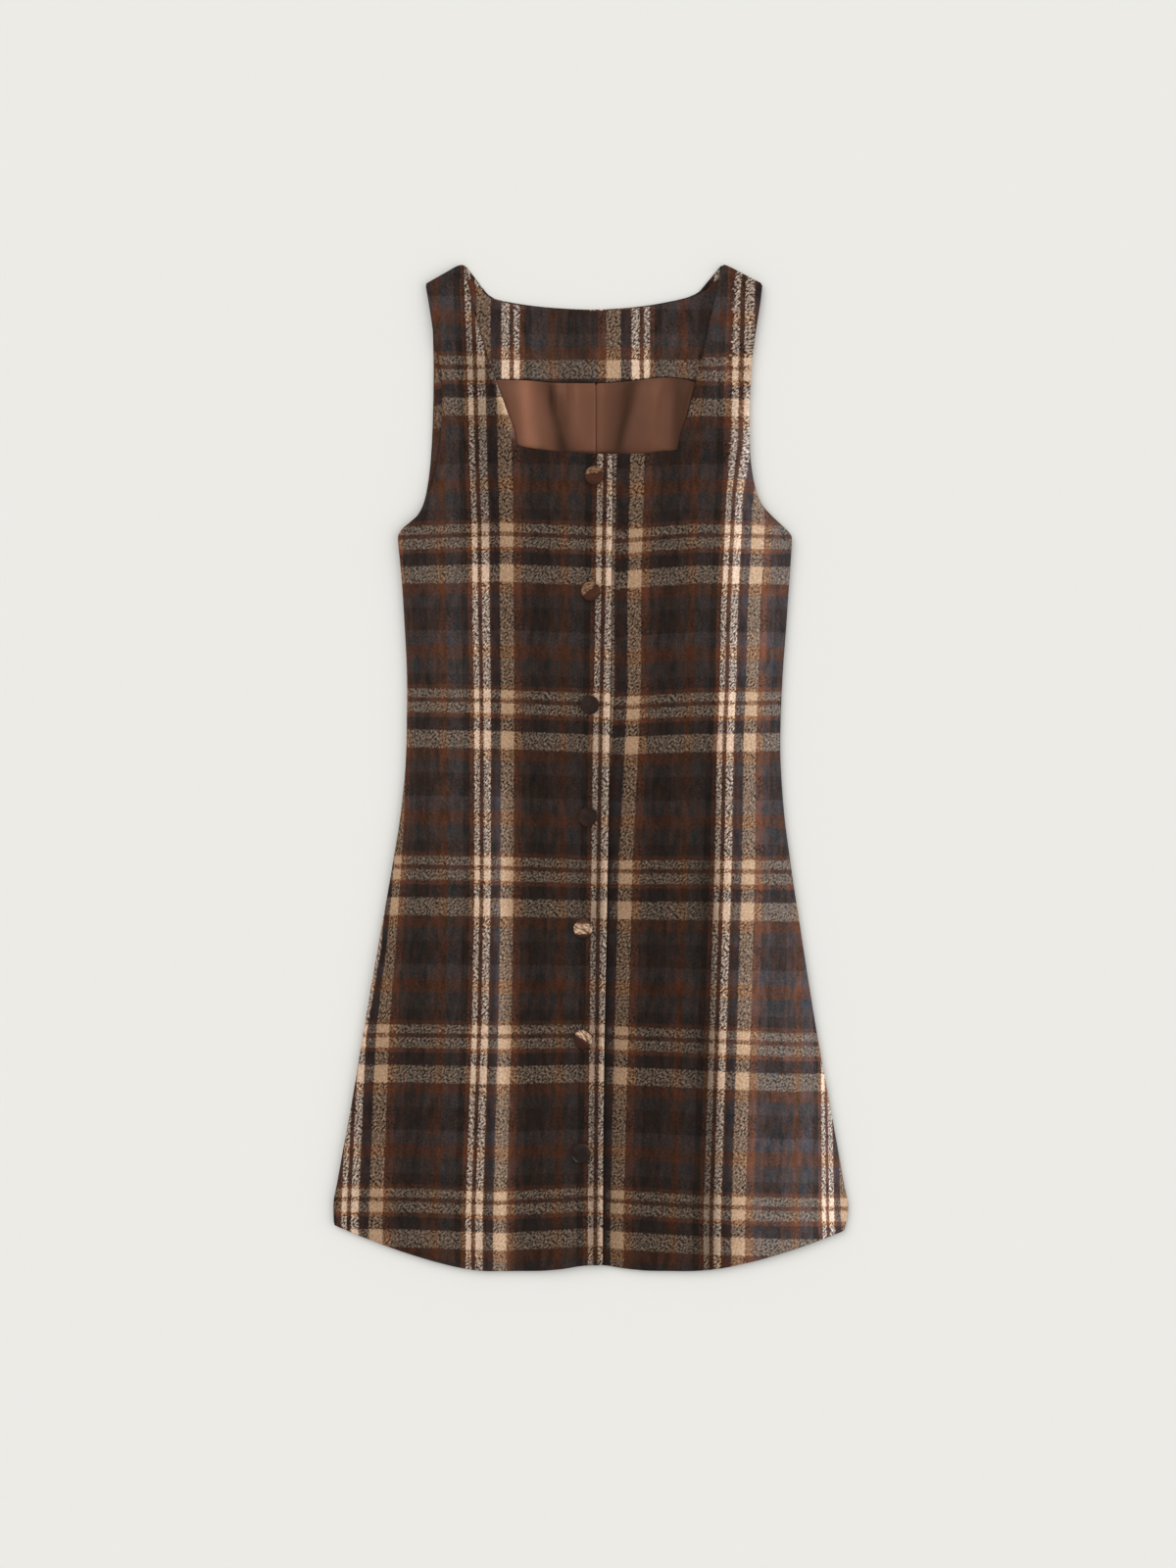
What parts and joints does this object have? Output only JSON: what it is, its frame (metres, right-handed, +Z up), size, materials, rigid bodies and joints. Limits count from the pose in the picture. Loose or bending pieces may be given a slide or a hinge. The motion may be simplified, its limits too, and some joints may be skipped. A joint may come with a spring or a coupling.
{
  "type": "pinafore dress",
  "caption": "Sleeveless A-line pinafore dress in checked wool, laid flat, with a square neck, a buttoned front and a curved hem.",
  "frame": {"origin": "middle of the dress's outline, on the surface it lies on", "axes": "+Z up from the surface through the front, +Y from hem to shoulders, +X across to the wearer's left"},
  "size_m": [0.4596, 0.899, 0.0148],
  "materials": {
    "checked_wool": "brushed wool twill in a check of brown, rust, navy and cream, matt",
    "lining_satin": "brown lining satin with a soft shine",
    "button_cover": "the same checked wool, stretched tight over a domed button"
  },
  "bodies": {
    "root": {"back_panel": "checked_wool", "back_facing": "checked_wool", "back_lining_right": "lining_satin", "back_lining_left": "lining_satin", "right_front": "checked_wool", "left_front": "checked_wool", "button_1": "button_cover", "button_2": "button_cover", "button_3": "button_cover", "button_4": "button_cover", "button_5": "button_cover", "button_6": "button_cover", "button_7": "button_cover"}
  },
  "joints": []
}
